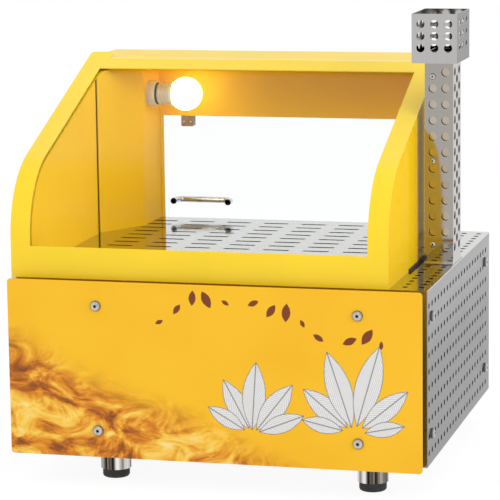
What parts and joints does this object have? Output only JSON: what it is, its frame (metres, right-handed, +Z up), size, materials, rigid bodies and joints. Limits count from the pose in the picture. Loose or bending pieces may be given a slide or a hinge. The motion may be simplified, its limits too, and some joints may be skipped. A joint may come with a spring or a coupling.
{
  "type": "counter-top potato oven",
  "caption": "Counter-top gas oven with roasting drawers under a yellow glazed display hood, a perforated flue guard and cap at its side, a lamp inside and levelling feet.",
  "frame": {"origin": "middle of the overall footprint, on the surface that the feet stand on", "axes": "+Z up, +Y from the front plate on the customer side to the drawers on the operator side, +X to the right seen from the customer side, where the flue stands"},
  "size_m": [0.612, 0.575, 0.6595],
  "materials": {
    "amber_paint": "satin",
    "yellow_paint": "gloss",
    "satin_steel": "satin",
    "zinc_steel": "satin",
    "bright_steel": "polished",
    "brass": "satin",
    "black_rubber": "matte",
    "seal_rubber": "matte",
    "clear_glass": "gloss",
    "bulb_glass": "gloss",
    "lamp_ceramic": "satin",
    "mineral_wool": "matte",
    "black_plastic": "matte",
    "grey_plastic": "matte",
    "red_plastic": "gloss",
    "dial_metal": "satin"
  },
  "bodies": {
    "oven": {"base_pan": "zinc_steel", "body_front_panel": "satin_steel", "burner_tubes": "zinc_steel", "cable_gland": "black_plastic", "chamber_insulation": "mineral_wool", "chamber_liner": "zinc_steel", "deck_plate": "satin_steel", "display_floor": "satin_steel", "door_catch": "grey_plastic", "door_hinge_brackets": "bright_steel", "drawer_runners": "zinc_steel", "flue_cap": "satin_steel", "flue_duct": "zinc_steel", "flue_guard": "satin_steel", "flue_guard_screws": "bright_steel", "foot_cups": "bright_steel", "front_plate": "amber_paint", "front_plate_spacers": "bright_steel", "gas_inlet": "brass", "gas_manifold": "brass", "gas_valve": "brass", "gauge_housing": "dial_metal", "gauge_lens": "clear_glass", "hood_front_frame": "yellow_paint", "hood_glass": "clear_glass", "hood_glass_seal": "seal_rubber", "hood_left_side": "yellow_paint", "hood_linings": "yellow_paint", "hood_rear_frame": "yellow_paint", "hood_right_side": "yellow_paint", "hood_side_trim": "seal_rubber", "hood_top_panel": "yellow_paint", "igniter_housing": "black_plastic", "inner_frame": "zinc_steel", "lamp_bulb": "bulb_glass", "lamp_holder": "lamp_ceramic", "lamp_switch_housing": "black_plastic", "left_side_panel": "satin_steel", "panel_screws": "bright_steel", "rear_panel": "satin_steel", "right_side_panel": "satin_steel"},
    "upper_drawer": {"upper_drawer_pan": "zinc_steel", "upper_drawer_front": "satin_steel", "upper_drawer_handle": "bright_steel"},
    "lower_drawer": {"lower_drawer_pan": "zinc_steel", "lower_drawer_front": "satin_steel", "lower_drawer_handle": "bright_steel"},
    "rear_door": {"rear_door_glass": "clear_glass", "rear_door_fittings": "bright_steel", "rear_door_handle": "bright_steel"},
    "gas_knob": {"valve_spindle": "bright_steel", "gas_knob": "black_plastic"},
    "igniter_button": {"igniter_button": "red_plastic"},
    "lamp_rocker": {"lamp_switch_rocker": "red_plastic"},
    "gauge_needle": {"gauge_needle": "red_plastic"},
    "front_left_foot": {"front_left_foot_insert": "black_rubber"},
    "front_right_foot": {"front_right_foot_insert": "black_rubber"},
    "rear_left_foot": {"rear_left_foot_insert": "black_rubber"},
    "rear_right_foot": {"rear_right_foot_insert": "black_rubber"}
  },
  "joints": [
    {"name": "upper_drawer_slide", "type": "slide", "parent": "oven", "child": "upper_drawer", "axis": [0, 1, 0], "range_m": [0, 0.38]},
    {"name": "lower_drawer_slide", "type": "slide", "parent": "oven", "child": "lower_drawer", "axis": [0, 1, 0], "range_m": [0, 0.38]},
    {"name": "rear_door_hinge", "type": "hinge", "parent": "oven", "child": "rear_door", "pos_m": [0.183, 0.2468, 0.38927], "axis": [0, 0, -1], "range_deg": [0, 110]},
    {"name": "gas_knob_turn", "type": "hinge", "parent": "oven", "child": "gas_knob", "pos_m": [0.233, 0.244, 0.084], "axis": [0, 1, 0], "range_deg": [0, 180]},
    {"name": "igniter_press", "type": "slide", "parent": "oven", "child": "igniter_button", "axis": [0, -1, 0], "range_m": [0, 0.004], "stiffness_N_per_m": 800, "springref_m": -0.002},
    {"name": "lamp_rocker_tip", "type": "hinge", "parent": "oven", "child": "lamp_rocker", "pos_m": [0.209, 0.2415, 0.179], "axis": [1, 0, 0], "range_deg": [0, 20]},
    {"name": "gauge_needle_turn", "type": "hinge", "parent": "oven", "child": "gauge_needle", "pos_m": [0.233, 0.2408, 0.242], "axis": [0, -1, 0], "range_deg": [0, 270], "stiffness_Nm_per_rad": 0.0005},
    {"name": "front_left_foot_turn", "type": "hinge", "parent": "oven", "child": "front_left_foot", "pos_m": [-0.169, -0.2115, 0.013], "axis": [0, 0, 1], "continuous": true},
    {"name": "front_right_foot_turn", "type": "hinge", "parent": "oven", "child": "front_right_foot", "pos_m": [0.21, -0.2115, 0.013], "axis": [0, 0, 1], "continuous": true},
    {"name": "rear_left_foot_turn", "type": "hinge", "parent": "oven", "child": "rear_left_foot", "pos_m": [-0.169, 0.1905, 0.013], "axis": [0, 0, 1], "continuous": true},
    {"name": "rear_right_foot_turn", "type": "hinge", "parent": "oven", "child": "rear_right_foot", "pos_m": [0.21, 0.1905, 0.013], "axis": [0, 0, 1], "continuous": true}
  ]
}
